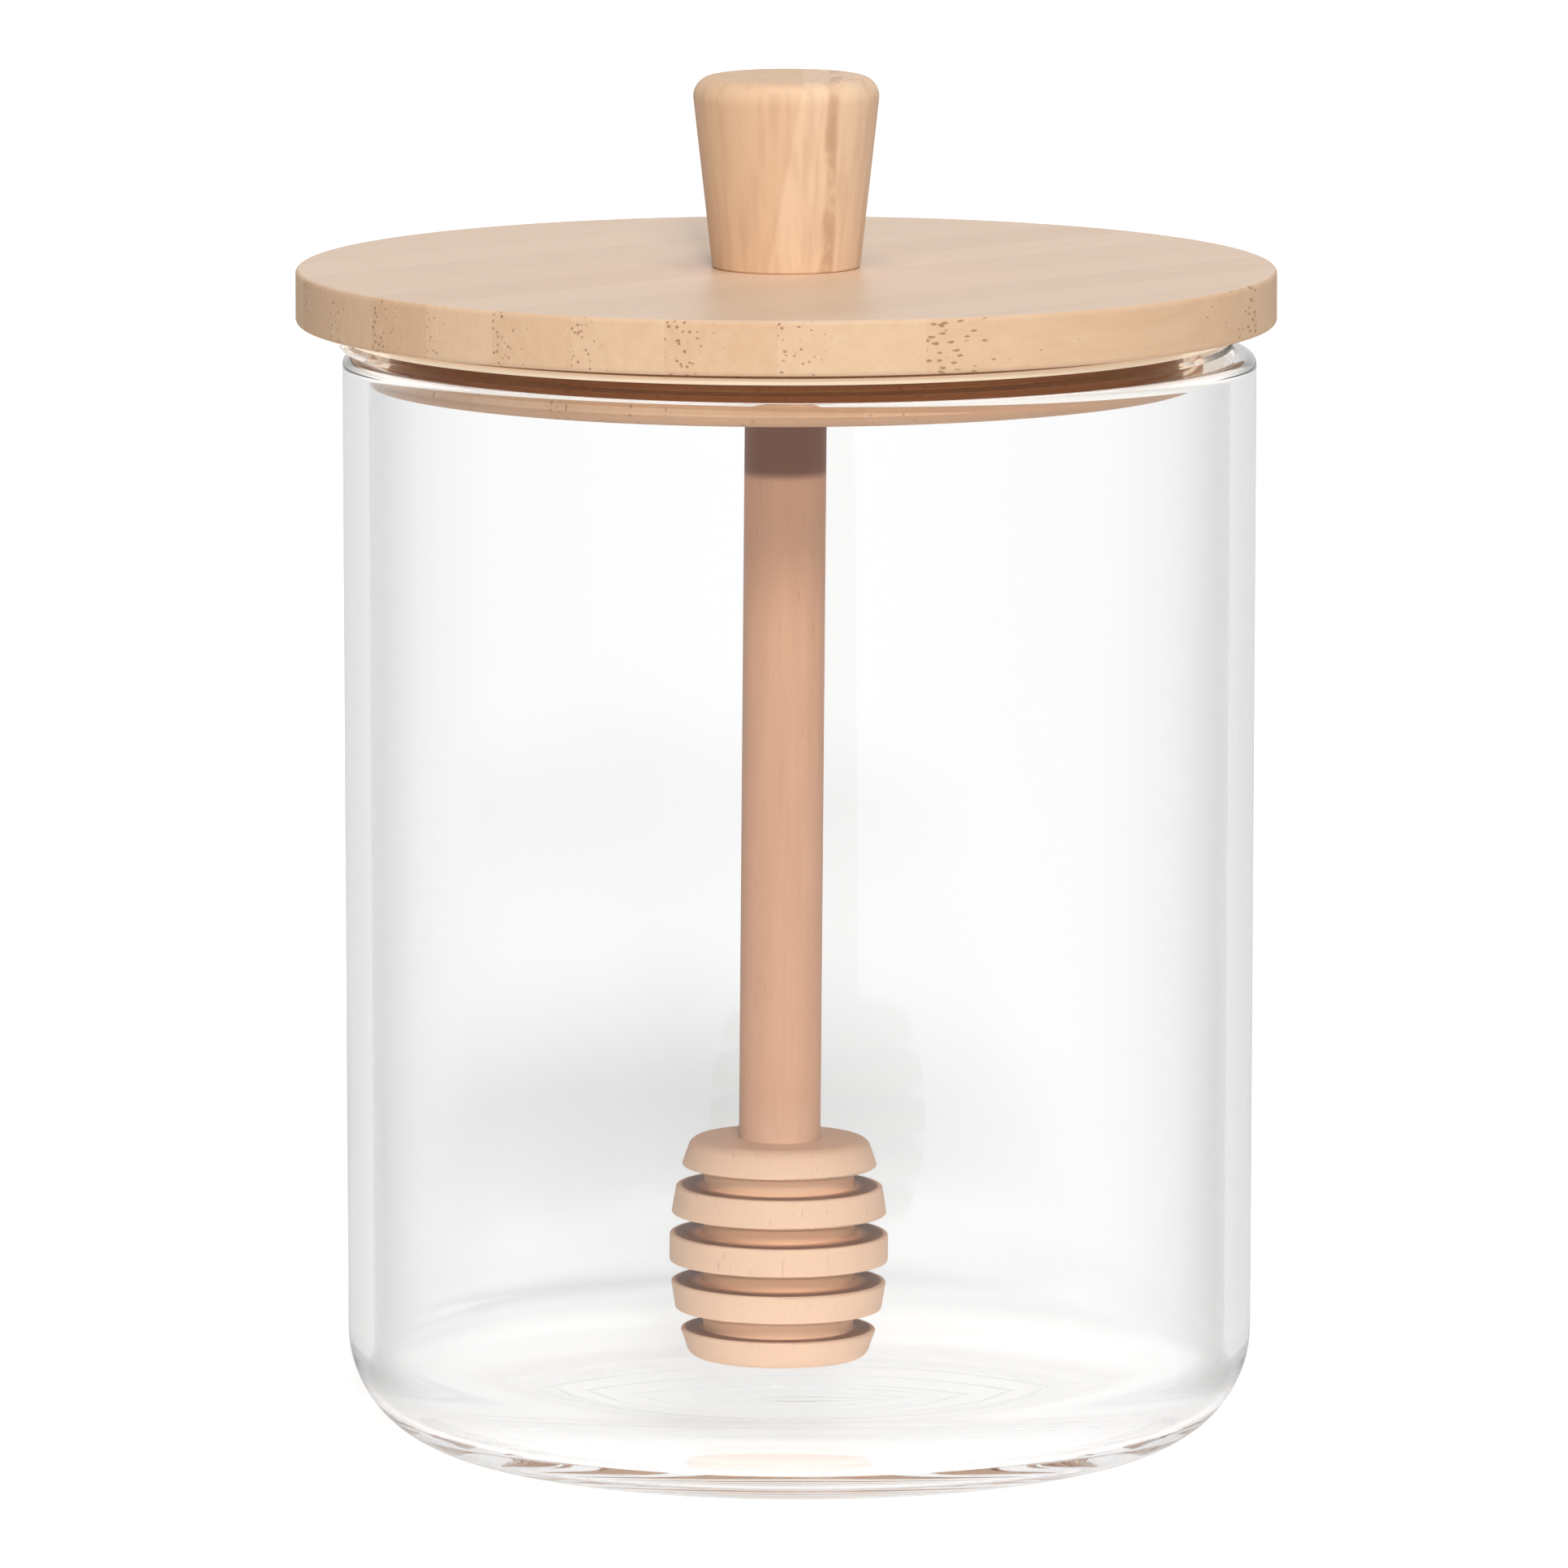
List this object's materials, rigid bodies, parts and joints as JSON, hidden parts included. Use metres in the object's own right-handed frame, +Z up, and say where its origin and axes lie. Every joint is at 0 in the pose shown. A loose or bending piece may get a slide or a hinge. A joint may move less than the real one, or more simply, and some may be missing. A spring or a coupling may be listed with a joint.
{
  "type": "honey jar with dipper",
  "caption": "Clear glass honey jar with a rounded heel, a bamboo lid with a turned knob and a silicone seal, and a wooden dipper hanging inside from the lid.",
  "frame": {"origin": "on the standing plane, on the upright axis that the lid, its seal and its knob share, which is the middle of the whole part seen from above", "axes": "+Z up, towards the knob; +X to the side where the jar stands a little further out than the lid's axis; -Y towards the side that faces the viewer"},
  "size_m": [0.1076, 0.1076, 0.1512],
  "materials": {
    "clear_glass": "clear, fire-polished",
    "bamboo_board": "laminated bamboo, sanded, thin matt oil",
    "clear_silicone": "clear silicone, satin",
    "knob_wood": "turned bamboo, sanded smooth",
    "dipper_wood": "turned beech, sanded, untreated"
  },
  "bodies": {
    "root": {"jar_glass": "clear_glass", "lid_bamboo": "bamboo_board", "lid_seal": "clear_silicone", "lid_knob": "knob_wood", "dipper": "dipper_wood"}
  },
  "joints": []
}
